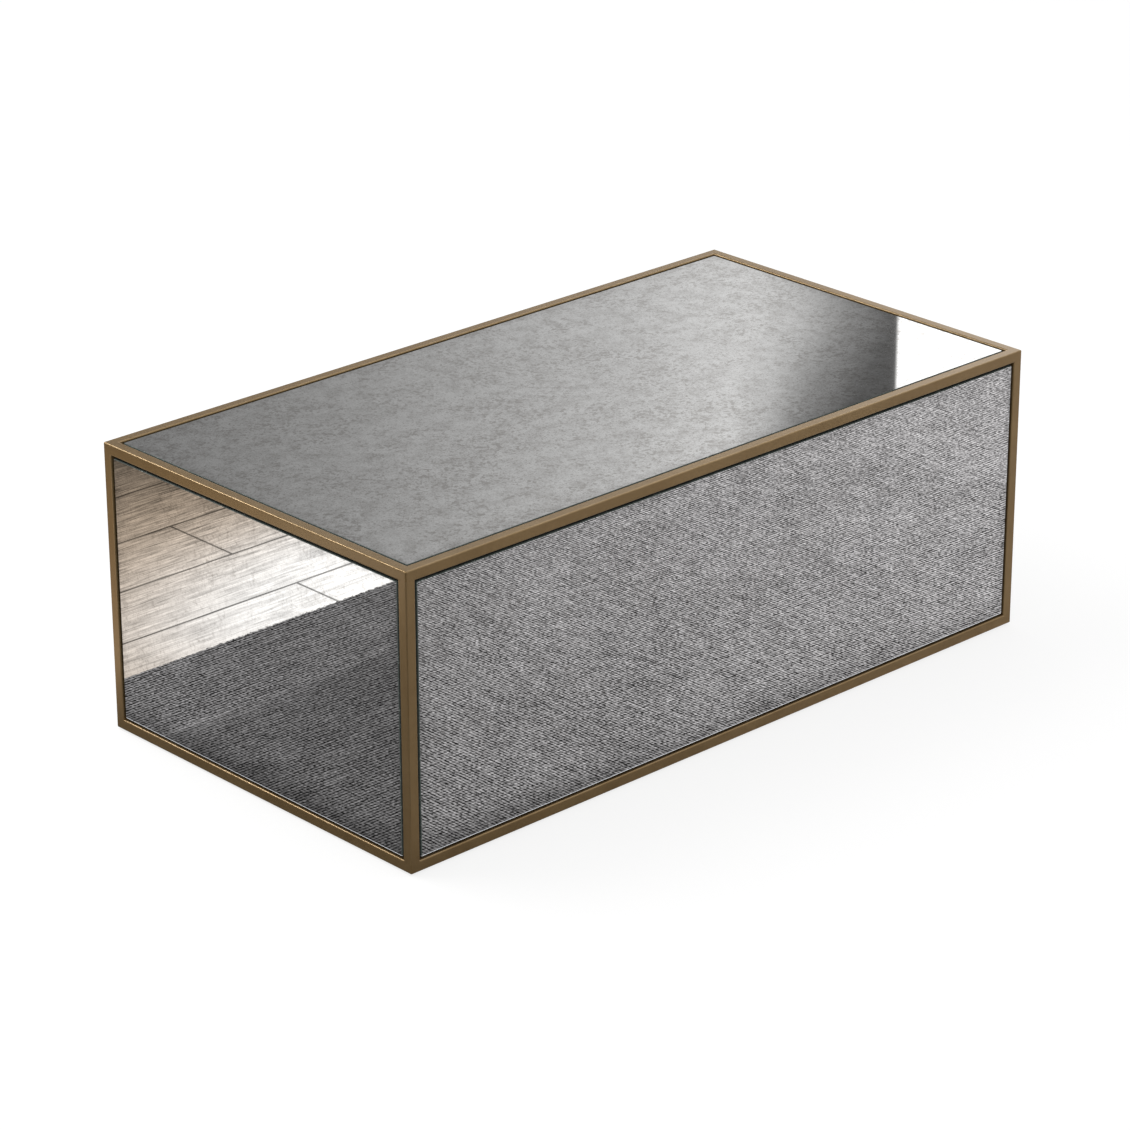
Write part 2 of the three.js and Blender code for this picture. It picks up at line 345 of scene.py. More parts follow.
def makeMirror():
    # silvering behind clear glass: soft grey blots in clusters, pin specks, brown creep at the rim
    material, bench, shader = newMaterial("antiquedSilvering")
    place = bench.place()
    cloud = useGroup(bench, mottle, place=place, scale=7.0, contrast=2.0)["patches"]
    cluster = bench.ramp(bench.noise(place, 15.0, 3, 0.6), 0.36, 0.66, 0.15, 1.0)
    blots = bench.ramp(bench.noise(place, 150.0, 2, 0.6), 0.47, 0.72)
    blots = bench.times(blots, cluster)
    dots = bench.ramp(bench.noise(place, 215.0, 1, 0.5), 0.54, 0.74)
    dots = bench.times(dots, bench.ramp(cloud, 0.2, 0.8, 0.3, 1.0))
    pins = useGroup(bench, speckle, place=place, speckSize=0.006, clusterSize=0.05,
                    amount=0.5)["specks"]
    haze = bench.ramp(bench.noise(place, 34.0, 5, 0.74), 0.36, 0.70)
    fleck = bench.ramp(bench.noise(place, 430.0, 2, 0.7), 0.42, 0.70)
    foxing = bench.times(blots, 0.66)
    foxing = bench.timesPlus(dots, 0.42, foxing)
    foxing = bench.timesPlus(pins, 0.16, foxing)
    foxing = bench.timesPlus(haze, 0.28, foxing)
    foxing = bench.timesPlus(fleck, 0.30, foxing)
    foxing = bench.sums("MINIMUM", bench.times(foxing, bench.mark("age")), 0.85)
    base = bench.mix(bench.times(cloud, 0.35), mirrorLook["silver"], mirrorLook["fog"])
    base = bench.mix(foxing, base, mirrorLook["fox"])
    gleam = bench.sums("POWER", bench.mark("paintedGlowEdge"), 4.0)  # a painted glow, not a reflection
    bench.join(bench.mix(gleam, (0, 0, 0, 1), (0.93, 0.96, 1.0, 1)), shader["Emission Color"])
    shader["Emission Strength"].default_value = 1.1
    rim = bench.mark("rim")
    creep = bench.times(rim, bench.ramp(bench.noise(place, 90.0, 4, 0.7), 0.35, 0.65))
    base = bench.mix(bench.times(creep, 0.35), base, (0.10, 0.09, 0.08, 1))
    bench.join(base, shader["Base Color"])
    shader["Metallic"].default_value = 1.0
    rough = bench.plus(mirrorLook["roughness"], bench.times(foxing, 0.022))
    bench.join(rough, shader["Roughness"])
    shader["Coat Weight"].default_value = 1.0
    shader["Coat Roughness"].default_value = 0.008
    shader["Coat IOR"].default_value = 1.5
    return material


def makeGroundGlass():
    # the ground edge of the sheet: frosted, slightly green, with tiny chips along it
    material, bench, shader = newMaterial("groundGlassEdge")
    place = bench.place()
    chips = useGroup(bench, speckle, place=place, speckSize=0.0016, clusterSize=0.02,
                     amount=0.7)["specks"]
    streak = bench.noise(bench.stretch(place, (60, 60, 900)), 1.0, 2, 0.6)
    base = bench.mix(streak, (0.035, 0.045, 0.042, 1), (0.10, 0.125, 0.115, 1))
    base = bench.mix(bench.times(chips, 0.5), base, (0.45, 0.50, 0.47, 1))
    # a faint glow, and a paler colour, painted on the lower edge of an upright sheet
    paintedGlowEdge = bench.mark("paintedGlowEdge")
    bench.join(bench.mix(paintedGlowEdge, base, (0.92, 0.93, 0.95, 1)), shader["Base Color"])
    bench.join(bench.mix(paintedGlowEdge, (0, 0, 0, 1), (0.95, 0.97, 1.0, 1)), shader["Emission Color"])
    shader["Emission Strength"].default_value = 0.10
    bench.join(bench.plus(0.5, bench.times(streak, 0.2)), shader["Roughness"])
    shader["Specular IOR Level"].default_value = 0.25
    bench.join(bench.bump(bench.minus(streak, chips), 0.3, 0.0003), shader["Normal"])
    return material


def makeMirrorBack():
    # grey protective paint on the back of the silvering
    material, bench, shader = newMaterial("mirrorBackPaint")
    place = bench.place()
    patches = useGroup(bench, mottle, place=place, scale=14.0, contrast=1.5)["patches"]
    peel = bench.noise(place, 700.0, 2, 0.5)
    bench.join(bench.mix(patches, (0.10, 0.11, 0.11, 1), (0.18, 0.19, 0.19, 1)), shader["Base Color"])
    bench.join(bench.plus(0.45, bench.times(patches, 0.2)), shader["Roughness"])
    bench.join(bench.bump(peel, 0.15, 0.0004), shader["Normal"])
    return material


def makeBlackBoard():
    # fibreboard sprayed matt black: orange peel, fibres standing up, grey rub marks
    material, bench, shader = newMaterial("sprayedBlackBoard")
    place = bench.place()
    patches = useGroup(bench, mottle, place=place, scale=16.0, contrast=1.6)["patches"]
    fibre = bench.noise(bench.stretch(place, (1, 5, 3), (20, 30, 40)), 260.0, 4, 0.7)
    lines = useGroup(bench, hairlines, place=place, scale=35.0, amount=0.8)["lines"]
    base = bench.mix(patches, (0.006, 0.006, 0.006, 1), (0.018, 0.017, 0.016, 1))
    base = bench.mix(bench.times(lines, 0.4), base, (0.07, 0.06, 0.05, 1))
    bench.join(base, shader["Base Color"])
    bench.join(bench.plus(0.62, bench.times(fibre, 0.3)), shader["Roughness"])
    bench.join(bench.bump(fibre, 0.35, 0.0005), shader["Normal"])
    return material


def makeFibreboard():
    # raw fibreboard: fine pressed fibres, pale and dark flecks, a drier and fuzzier cut edge
    material, bench, shader = newMaterial("rawFibreboard")
    place = bench.place()
    patches = useGroup(bench, mottle, place=place, scale=11.0, contrast=1.5)["patches"]
    specks = useGroup(bench, speckle, place=place, speckSize=0.0045, clusterSize=0.03,
                      amount=0.7)["specks"]
    fibreA = bench.noise(bench.stretch(place, (1, 9, 1), (0, 0, 24)), 190.0, 4, 0.75)
    fibreB = bench.noise(bench.stretch(place, (8, 1, 1), (0, 0, -35)), 210.0, 4, 0.75)
    fibre = bench.sums("MAXIMUM", fibreA, fibreB)
    film = useGroup(bench, dust, place=place, amount=0.5, scale=18.0)["film"]
    base = bench.mix(patches, (0.27, 0.175, 0.095, 1), (0.42, 0.30, 0.18, 1))
    base = bench.mix(bench.ramp(fibre, 0.5, 0.8, 0.0, 0.55), base, (0.56, 0.43, 0.28, 1))
    base = bench.mix(bench.times(specks, 0.5), base, (0.13, 0.075, 0.04, 1))
    base = bench.mix(film, base, (0.50, 0.47, 0.42, 1))
    bench.join(base, shader["Base Color"])
    bench.join(bench.plus(0.66, bench.times(fibre, 0.25)), shader["Roughness"])
    bench.join(bench.bump(fibre, 0.4, 0.0006), shader["Normal"])
    return material


def makeZinc():
    # bright zinc plate: faint blue and yellow passivation, handling scratches, dull patches
    material, bench, shader = newMaterial("brightZinc")
    place = bench.place()
    patches = useGroup(bench, mottle, place=place, scale=120.0, contrast=2.2)["patches"]
    lines = useGroup(bench, hairlines, place=place, scale=300.0, amount=0.8)["lines"]
    specks = useGroup(bench, speckle, place=place, speckSize=0.0012, clusterSize=0.006,
                      amount=0.7)["specks"]
    base = bench.mix(patches, (0.60, 0.63, 0.68, 1), (0.74, 0.71, 0.60, 1))
    base = bench.mix(bench.times(specks, 0.5), base, (0.34, 0.33, 0.31, 1))
    bench.join(base, shader["Base Color"])
    shader["Metallic"].default_value = 1.0
    rough = bench.plus(0.24, bench.times(patches, 0.2))
    bench.join(bench.plus(rough, bench.times(lines, 0.2)), shader["Roughness"])
    bench.join(bench.bump(bench.minus(patches, lines), 0.2, 0.0001), shader["Normal"])
    return material


def makeNylon():
    # moulded black nylon: fine spark texture, scuffed paler where it has slid on a floor
    material, bench, shader = newMaterial("mouldedNylon")
    place = bench.place()
    texture = bench.noise(place, 2600.0, 2, 0.6)
    patches = useGroup(bench, mottle, place=place, scale=90.0, contrast=1.8)["patches"]
    lines = useGroup(bench, hairlines, place=place, scale=160.0, amount=1.0)["lines"]
    base = bench.mix(patches, (0.011, 0.011, 0.012, 1), (0.026, 0.026, 0.027, 1))
    base = bench.mix(bench.times(lines, 0.6), base, (0.15, 0.15, 0.15, 1))
    bench.join(base, shader["Base Color"])
    bench.join(bench.plus(0.42, bench.times(texture, 0.25)), shader["Roughness"])
    bench.join(bench.bump(bench.plus(texture, lines), 0.25, 0.00015), shader["Normal"])
    return material


bronze = makeBronze()
mirror = makeMirror()
groundGlass = makeGroundGlass()
mirrorBack = makeMirrorBack()
blackBoard = makeBlackBoard()
fibreboard = makeFibreboard()
zinc = makeZinc()
nylon = makeNylon()
print("finishes made")

tubeForm = {
    "corner": 0.002,  # outside radius of the tube's corners and of the ground table corners
    "arcSteps": 6,
    "shoulder": 0.0004,  # extra line of points beside each corner arc
    "endSteps": (0.0, 0.0002, 0.0005, 0.0009, 0.0014, 0.002, 0.0026, 0.004, 0.008, 0.02),
    "middleSteps": 9,
    "seamReach": 0.0012,
}
railLow, railHigh = boxOf("rail_bottom_front")
frameLow, frameHigh = (np.array(corner) for corner in cadBox)
frameLow[2] = railLow[2]  # the feet stand lower than the frame
tube = railHigh[2] - railLow[2]


def tubeSection(size):
    # round-cornered square, counter-clockwise: four quarter arcs, each with a shoulder point
    # before and after it; returns the points and how far round an arc each one is
    radius, steps, shoulder = tubeForm["corner"], tubeForm["arcSteps"], tubeForm["shoulder"]
    reach = size / 2 - radius
    angles = np.linspace(0, math.pi / 2, steps + 1)
    points, edge = [], []
    for quarter in range(4):
        turn = angles + quarter * math.pi / 2
        cornerSign = np.array([(1, 1), (-1, 1), (-1, -1), (1, -1)][quarter])
        arc = cornerSign * reach + radius * np.stack([np.cos(turn), np.sin(turn)], -1)
        before = arc[0] - shoulder * np.array([-math.sin(turn[0]), math.cos(turn[0])])
        after = arc[-1] + shoulder * np.array([-math.sin(turn[-1]), math.cos(turn[-1])])
        points.append(np.vstack([before, arc, after]))
        edge.append(np.concatenate([[0], np.sin(2 * angles) * 0.9 + 0.1, [0]]))
    return np.vstack(points), np.concatenate(edge)


def roundOutline(points):
    # pulls points beyond the rounded box of the whole frame on to it: nearest point of the
    # box shrunk by the radius, then one radius outwards from there
    radius = tubeForm["corner"]
    core = np.clip(points, frameLow + radius, frameHigh - radius)
    away = points - core
    length = np.linalg.norm(away, axis=-1, keepdims=True)
    return np.where(length > radius, core + away * radius / np.maximum(length, 1e-9), points)


def addTube(name, along, low, high, mitre):
    # section carried along an axis; each end is square, or cut at 45 degrees so that the
    # outer side (mitre gives that axis and side) is the longer one
    section, edge = tubeSection(high[(along + 1) % 3] - low[(along + 1) % 3])
    sideA, sideB = (along + 1) % 3, (along + 2) % 3
    centre = (low + high) / 2
    cut = np.zeros(len(section))
    if mitre is not None:
        axis, sign = mitre
        across = section[:, 0] if axis == sideA else section[:, 1]
        cut = tube / 2 - across * sign
    steps = np.array(tubeForm["endSteps"])
    half = (high[along] - low[along]) / 2
    middle = np.linspace(-1, 1, tubeForm["middleSteps"] + 2)[1:-1]
    startRows = -(half - cut)[None, :] + steps[:, None]
    middleRows = middle[:, None] * (half - 0.03 - cut)[None, :]
    along3 = np.vstack([startRows, middleRows, -startRows[::-1]])
    points = np.zeros(along3.shape + (3,))
    points[..., along] = centre[along] + along3
    points[..., sideA] = centre[sideA] + section[None, :, 0]
    points[..., sideB] = centre[sideB] + section[None, :, 1]
    rows, columns = along3.shape
    points = roundOutline(points)
    toEnd = (half - cut)[None, :] - np.abs(along3)
    seam = 1 - np.clip(toEnd / tubeForm["seamReach"], 0, 1)
    edges = np.broadcast_to(edge, along3.shape)
    poles = np.stack([points[0].mean(0), points[-1].mean(0)])
    flat = np.vstack([points.reshape(-1, 3), poles])
    last = np.arange(columns) + (rows - 1) * columns
    faces = [gridFaces(rows, columns), fanFaces(rows * columns, np.arange(columns), True),
             fanFaces(rows * columns + 1, last)]
    marks = {"seam": np.append(seam.ravel(), [1, 1]), "edge": np.append(edges.ravel(), [0, 0])}
    piece = buildPiece(name + "_welded", flat, faces, [bronze], marks=marks)
    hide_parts(name)
    return piece


def spanOf(name, along):
    # a tube's box, with its ends brought up to the tubes it is welded to
    low, high = boxOf(name)
    # and on by one corner radius, which fills the rail's rounding as the ground weld does
    if along == 2:
        sink = tube - tubeForm["corner"]
        low[2], high[2] = frameLow[2] + sink, frameHigh[2] - sink
    return low, high


for level in ("top", "bottom"):
    for side, along, mitre in (("front", 0, (1, -1)), ("back", 0, (1, 1)),
                               ("left", 1, (0, -1)), ("right", 1, (0, 1))):
        low, high = boxOf(f"rail_{level}_{side}")
        low[along], high[along] = frameLow[along], frameHigh[along]
        addTube(f"rail_{level}_{side}", along, low, high, mitre)
for corner in cornerNames:
    addTube(f"post_{corner}", 2, *spanOf(f"post_{corner}", 2), None)
for side in ("left", "right"):
    low, high = boxOf(f"cross_tube_{side}")
    low[1], high[1] = frameLow[1] + tube, frameHigh[1] - tube
    addTube(f"cross_tube_{side}", 1, low, high, None)
print("frame tubes built")

sheetForm = {
    "arris": 0.0007,  # ground edge, at 45 degrees
    "corner": 0.0012,  # plan radius of the sheet's corners
    "cornerSteps": 5,
    "rimBands": (0.0, 0.002, 0.005, 0.010, 0.02),
    "age": (0.62, 1.45),  # strength of the antiquing on the side sheets and on the top
}


def roundedOutline(halfU, halfV, radius, steps):
    # closed outline of a rectangle with round corners, counter-clockwise
    angles = np.linspace(0, math.pi / 2, steps + 1)
    quarters = []
    for quarter, sign in enumerate(((1, 1), (-1, 1), (-1, -1), (1, -1))):
        turn = angles + quarter * math.pi / 2
        centre = np.array(sign) * (np.array([halfU, halfV]) - radius)
        quarters.append(centre + radius * np.stack([np.cos(turn), np.sin(turn)], -1))
    return np.vstack(quarters)


def addSheet(name, outAxis, outSign):
    # rings from the middle of the back, over the ground edge, to the middle of the front
    low, high = boxOf(name)
    centre, size = (low + high) / 2, high - low
    axisU, axisV = (outAxis + 1) % 3, (outAxis + 2) % 3
    arris, corner, steps = sheetForm["arris"], sheetForm["corner"], sheetForm["cornerSteps"]
    thick = size[outAxis] / 2
    bands = [(arris + b, 1.0, 1 - b / sheetForm["rimBands"][-1]) for b in sheetForm["rimBands"]]
    rings = [(b, -1.0, rim) for b, _, rim in reversed(bands)]
    rings += [(0.0, -1 + arris / thick, 1.0), (0.0, 1 - arris / thick, 1.0)] + bands
    points, rims, paintedGlowEdge = [], [], []
    for inset, level, rim in rings:
        outline = roundedOutline(size[axisU] / 2 - inset, size[axisV] / 2 - inset,
                                 max(corner, 0.0004), steps)
        ring = np.zeros((len(outline), 3))
        ring[:, axisU], ring[:, axisV] = outline[:, 0], outline[:, 1]
        ring[:, outAxis] = level * thick * outSign
        points.append(ring)
        rims.append(np.full(len(outline), rim))
        # where the painted glow goes: the lowest rim of an upright sheet's front
        down = (-ring[:, 2] - (size[2] / 2 - inset - corner)) / corner
        paintedGlowEdge.append(np.clip(down, 0, 1) * (level > 0) * (outAxis != 2) * (inset < 0.001))
    points = np.array(points) + centre
    rows, columns = points.shape[:2]
    poles = np.array([centre, centre])
    poles[:, outAxis] += np.array([-thick, thick]) * outSign
    flat = np.vstack([points.reshape(-1, 3), poles])
    count = rows * columns
    flip = outSign < 0
    quads = gridFaces(rows, columns)
    last = np.arange(columns) + (rows - 1) * columns
    faces = [quads[:, ::-1] if flip else quads,
             fanFaces(count, np.arange(columns), not flip), fanFaces(count + 1, last, flip)]
    bandCount = len(bands)
    rowOf = np.repeat(np.arange(rows - 1), columns)
    kind = np.where(rowOf < bandCount - 1, 2, np.where(rowOf < bandCount + 2, 1, 0))
    faceMaterial = np.concatenate([kind, np.full(columns, 2), np.full(columns, 0)])
    piece = buildPiece(name + "_sheet", flat, faces, [mirror, groundGlass, mirrorBack],
                       faceMaterial=faceMaterial,
                       marks={"rim": np.append(np.concatenate(rims), [0, 0]),
                              "paintedGlowEdge": np.append(np.concatenate(paintedGlowEdge), [0, 0]),
                              "age": np.full(len(flat), sheetForm["age"][outAxis == 2])},
                       smoothAngle=25)
    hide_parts(name)
    return piece


for name, axis, sign in (("mirror_top", 2, 1), ("mirror_front", 1, -1), ("mirror_back", 1, 1),
                         ("mirror_left", 0, -1), ("mirror_right", 0, 1)):
    addSheet(name, axis, sign)
print("mirror sheets built")

finishFor = (("backing_board", blackBoard), ("base_board", fibreboard), ("rib", fibreboard),
             ("ledge", bronze), ("fixing_strip", bronze), ("corner_plate", bronze),
             ("weld_nut", zinc), ("base_screw", zinc), ("foot_stud", zinc),
             ("foot_pad", nylon))
for name, part in nodes.items():
    for start, material in finishFor:
        if name.startswith(start):
            part.data.materials.clear()
            part.data.materials.append(material)
print("parts finished")

padForm = {
    "around": 96,
    "ribs": 8,
    "ribDrop": 0.0013,  # how far the flange lies below its ribs
    "ribEdge": 9,  # sharpness of a rib's sides
    "ribShare": 0.55,  # a higher share makes the ribs narrower
    "flange": (0.0095, 0.0147),  # inner and outer radius of the ribbed part
    "fade": 0.0006,
}
studForm = {"pitch": 0.00125, "deep": 0.00325, "out": 0.0038, "around": 28, "rowsPerTurn": 8}
# outline of the pad, from the middle of its underside round to the bottom of its socket
padOutline = np.array([
    (4.2, 0.5), (5.0, 0.35), (5.4, 0.05), (6.2, 0.0), (10.0, 0.0), (14.2, 0.0), (15.0, 0.12),
    (15.6, 0.5), (15.95, 1.1), (16.0, 2.0), (16.0, 3.2), (15.85, 4.1), (15.5, 4.7), (14.9, 5.0),
    (14.4, 5.0), (14.0, 4.95), (13.0, 4.95), (12.0, 4.95), (11.0, 4.95), (10.4, 5.0), (9.8, 5.2),
    (9.35, 5.6), (9.1, 6.2), (9.0, 7.0), (8.85, 7.55), (8.4, 7.85), (7.8, 7.9), (5.0, 7.9),
    (4.3, 7.85), (4.0, 7.6), (3.9, 7.2), (3.9, 4.0), (3.9, 2.0)]) / 1000
headOutline = np.array([
    (0.25, 0.0), (0.6, 0.0), (0.9, 0.01), (1.2, 0.03), (1.5, 0.05), (1.8, 0.09), (2.1, 0.14),
    (2.5, 0.24), (3.0, 0.45), (3.4, 0.75), (3.75, 1.2), (3.95, 1.7), (4.0, 2.2), (3.9, 2.4),
    (1.7, 2.4)]) / 1000


def turnProfile(outline, columns):
    # revolves rows of (radius, height) about Z; closeRows adds the poles
    angle = np.arange(columns) * 2 * math.pi / columns
    radius, height = outline[:, 0:1], outline[:, 1:2]
    points = np.stack([radius * np.cos(angle), radius * np.sin(angle),
                       height + 0 * angle], -1)
    return points, angle


def closeRows(points):
    # faces for rows of rings, with a pole at each end; returns points and faces
    rows, columns = points.shape[:2]
    poles = np.stack([points[0].mean(0), points[-1].mean(0)])
    count = rows * columns
    last = np.arange(columns) + (rows - 1) * columns
    faces = [gridFaces(rows, columns), fanFaces(count, np.arange(columns), True),
             fanFaces(count + 1, last)]
    return np.vstack([points.reshape(-1, 3), poles]), faces


def threadRows(low, high, deep, out, pitch, columns, rowsPerTurn, tipLow, tipHigh):
    # screw thread: radius is a triangle wave of height over pitch less angle over a full turn,
    # cut down to a cone at each end
    height = np.arange(low, high, pitch / rowsPerTurn)
    height = np.append(height, high)
    angle = np.arange(columns) * 2 * math.pi / columns
    phase = height[:, None] / pitch - angle[None, :] / (2 * math.pi)
    wave = np.abs((phase % 1) * 2 - 1)
    wave = np.clip((wave - 0.12) / 0.76, 0, 1)
    radius = deep + (out - deep) * wave
    cone = np.minimum(deep - tipLow + height - low, deep - tipHigh + high - height)
    radius = np.minimum(radius, np.maximum(cone, 0.0002)[:, None])
    return np.stack([radius * np.cos(angle), radius * np.sin(angle),
                     np.broadcast_to(height[:, None], radius.shape)], -1)


def addFoot(corner):
    around = padForm["around"]
    low, high = boxOf(f"foot_pad_{corner}")
    axis = (low + high) / 2
    points, angle = turnProfile(padOutline, around)
    radius = padOutline[:, 0]
    between = 0.5 - 0.5 * np.tanh(padForm["ribEdge"] * (np.cos(padForm["ribs"] * angle)
                                                       - padForm["ribShare"]))
    (inner, outer), fade = padForm["flange"], padForm["fade"]
    inFlange = np.clip((radius - inner) / fade, 0, 1) * np.clip((outer - radius) / fade, 0, 1)
    onTop = padOutline[:, 1] > 0.004
    points[..., 2] -= padForm["ribDrop"] * (inFlange * onTop)[:, None] * between[None, :]
    flat, faces = closeRows(points)
    flat += (axis[0], axis[1], low[2])
    pad = buildPiece(f"foot_pad_{corner}_moulded", flat, faces, [nylon],
                     body=f"foot_{corner}", smoothAngle=40)
    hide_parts(f"foot_pad_{corner}")
    low, high = boxOf(f"foot_stud_{corner}")
    rows = threadRows(low[2], high[2], studForm["deep"], studForm["out"], studForm["pitch"],
                      studForm["around"], studForm["rowsPerTurn"], 0.0002, 0.0008)
    flat, faces = closeRows(rows)
    flat[:, :2] += axis[:2]
    stud = buildPiece(f"foot_stud_{corner}_threaded", flat, faces, [zinc],
                      body=f"stud_{corner}", smoothAngle=60)
    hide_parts(f"foot_stud_{corner}")


nutForm = {
    "flats": 0.0065,  # axis to a flat
    "bore": 0.0039,
    "sink": 0.0043,
    "columns": 72,
    "chamfer": (0.0061, 0.0063),  # radius of the lower and upper end faces
    "slope": 1.6,
}


def addNut(corner):
    # hexagon with both ends chamfered by a cone, and a countersunk bore
    low, high = boxOf(f"weld_nut_{corner}")
    axis = (low + high) / 2
    height = high[2] - low[2]
    columns = nutForm["columns"]
    turn = 0.0 if high[0] - low[0] > high[1] - low[1] else math.pi / 2
    angle = np.arange(columns) * 2 * math.pi / columns
    hexagon = nutForm["flats"] / np.cos((angle - turn) % (math.pi / 3) - math.pi / 6)
    bore, sink, slope = nutForm["bore"], nutForm["sink"], nutForm["slope"]
    lowerEnd, upperEnd = nutForm["chamfer"]
    levels = np.array([0, 0.0002, 0.0005, 0.0009, 0.0014, 0.003, 0.0045, 0.0051, 0.0056, 0.006,
                       0.0063, height])
    cone = np.minimum(lowerEnd + levels * slope, upperEnd + (height - levels) * slope)
    outer = np.minimum(hexagon[None, :], cone[:, None])
    inner = np.array([(sink, height), (bore, height - 0.0005), (bore, height / 2),
                      (bore, 0.0005), (sink, 0)])
    radius = np.vstack([outer, np.broadcast_to(inner[:, 0:1], (5, columns))])
    level = np.concatenate([levels, inner[:, 1]])
    points = np.stack([radius * np.cos(angle), radius * np.sin(angle),
                       np.broadcast_to(level[:, None], radius.shape)], -1)
    flat = points.reshape(-1, 3) + (axis[0], axis[1], low[2])
    rows = len(level)
    ring = gridFaces(rows, columns)
    closing = gridFaces(2, columns)  # from the last row back to the first
    closing = np.where(closing < columns, closing + (rows - 1) * columns, closing - columns)
    nut = buildPiece(f"weld_nut_{corner}_hex", flat, [ring, closing], [zinc],
                     smoothAngle=28)
    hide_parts(f"weld_nut_{corner}")


screwForm = {
    "armHalf": 0.00048,  # half the width of the cross recess
    "recess": 0.0013,
    "armReach": 0.0023,
    "deep": 0.00125,
    "out": 0.00172,
    "pitch": 0.0016,
    "columns": 64,
}


def addScrew(corner):
    # pan head with a cross recess, and a coarse thread that ends in a point
    low, high = boxOf(f"base_screw_{corner}")
    axis = (low + high) / 2
    points, angle = turnProfile(headOutline, screwForm["columns"])
    across = np.minimum(np.abs(points[..., 0]), np.abs(points[..., 1]))
    reach = np.clip((screwForm["armReach"] - headOutline[:, 0]) / 0.0005, 0, 1)[:, None]
    arm = np.clip((screwForm["armHalf"] - across) / 0.0002 + 0.5, 0, 1)
    points[..., 2] += screwForm["recess"] * arm * reach * (points[..., 2] < 0.0008)
    points[..., 2] += low[2]
    head = headOutline[-1, 1] + low[2]
    shank = threadRows(head + 0.0001, high[2] - 0.0002, screwForm["deep"], screwForm["out"],
                       screwForm["pitch"], screwForm["columns"], 8, -0.0005, 0.001)
    flat, faces = closeRows(np.concatenate([points, shank]))
    flat[:, :2] += axis[:2]
    screw = buildPiece(f"base_screw_{corner}_cross", flat, faces, [zinc],
                       smoothAngle=40)
    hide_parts(f"base_screw_{corner}")


beadForm = {"railRadius": 0.0016, "plateRadius": 0.0014, "nutRadius": 0.0010, "ripple": 0.0017}


def beadShell(start, end, radius):
    # a weld bead: round section along a line, swelling at every ripple and closing at the ends
    start, end = np.array(start, float), np.array(end, float)
    length = np.linalg.norm(end - start)
    along = (end - start) / length
    side = np.cross(along, (0.37, 0.61, 0.7))
    side /= np.linalg.norm(side)
    up = np.cross(along, side)
    share = np.linspace(0.004, 0.996, max(12, int(length / 0.0004)))
    close = np.sqrt(np.clip(1 - np.abs(share * 2 - 1) ** (length / radius), 0, 1))
    ripple = 1 + 0.14 * np.abs(np.sin(share * length / beadForm["ripple"] * math.pi))
    size = radius * close * ripple
    angle = np.arange(12) * 2 * math.pi / 12
    ring = np.cos(angle)[:, None] * side + np.sin(angle)[:, None] * up
    points = start + share[:, None, None] * length * along + size[:, None, None] * ring[None]
    return closeRows(points)


def addBeads():
    shells = []
    gap = 0.0006
    for side in ("left", "right"):
        low, high = boxOf(f"cross_tube_{side}")
        for y in (frameLow[1] + tube + gap, frameHigh[1] - tube - gap):
            for x in (low[0] - gap, high[0] + gap):
                shells.append(beadShell((x, y, low[2] + 0.003), (x, y, high[2] - 0.003),
                                        beadForm["railRadius"]))
    for corner in cornerNames:
        low, high = boxOf(f"corner_plate_{corner}")
        inX, inY = np.sign(-(low[0] + high[0])), np.sign(-(low[1] + high[1]))
        edgeX = low[0] if inX > 0 else high[0]
        edgeY = low[1] if inY > 0 else high[1]
        level = low[2] - 0.0002
        for startAt, endAt in ((0.006, 0.020), (0.034, 0.048)):
            shells.append(beadShell((edgeX + inX * startAt, edgeY, level),
                                    (edgeX + inX * endAt, edgeY, level), beadForm["plateRadius"]))
            shells.append(beadShell((edgeX, edgeY + inY * startAt, level),
                                    (edgeX, edgeY + inY * endAt, level), beadForm["plateRadius"]))
        nutLow, nutHigh = boxOf(f"weld_nut_{corner}")
        axis = (nutLow + nutHigh) / 2
        for turn in (0.5, 2.6, 4.7):
            out = np.array([math.cos(turn), math.sin(turn), 0]) * 0.0069
            tangent = np.array([-math.sin(turn), math.cos(turn), 0]) * 0.0022
            spot = np.array([axis[0], axis[1], nutHigh[2]]) + out
            shells.append(beadShell(spot - tangent, spot + tangent, beadForm["nutRadius"]))
    flat, faces, start = [], [], 0
    for points, groups in shells:
        flat.append(points)
        faces += [group + start for group in groups]
        start += len(points)
    buildPiece("weld_beads", np.vstack(flat), faces, [bronze], smoothAngle=60)


for corner in cornerNames:
    addFoot(corner)
    addNut(corner)
    addScrew(corner)
addBeads()
print("feet, nuts, screws and welds built")

roomLook = {
    "floorSize": 14.0,
    "floorTone": 0.93,
    "shadowShare": 0.22,  # how much of the floor's tone comes from the light that reaches it
    "rugEdge": 0.446,  # y of the rug's far edge
    "rugPitch": (0.0060, 0.0066),
    "plankWidth": 0.1565,
    "plankStart": 0.545,
    "plankLength": 1.22,
    "plankJoint": -1.12,
    "farGrey": (0.34, 0.34, 0.34, 1),
}


def stagePlane(name, size, height, material):
    mesh = bpy.data.meshes.new(name)
    corners = [(-size, -size, height), (size, -size, height), (size, size, height),
               (-size, size, height)]
    mesh.from_pydata(corners, [], [(0, 1, 2, 3)])
    mesh.materials.append(material)
    plane = bpy.data.objects.new(name, mesh)
    bpy.context.scene.collection.objects.link(plane)
    return plane


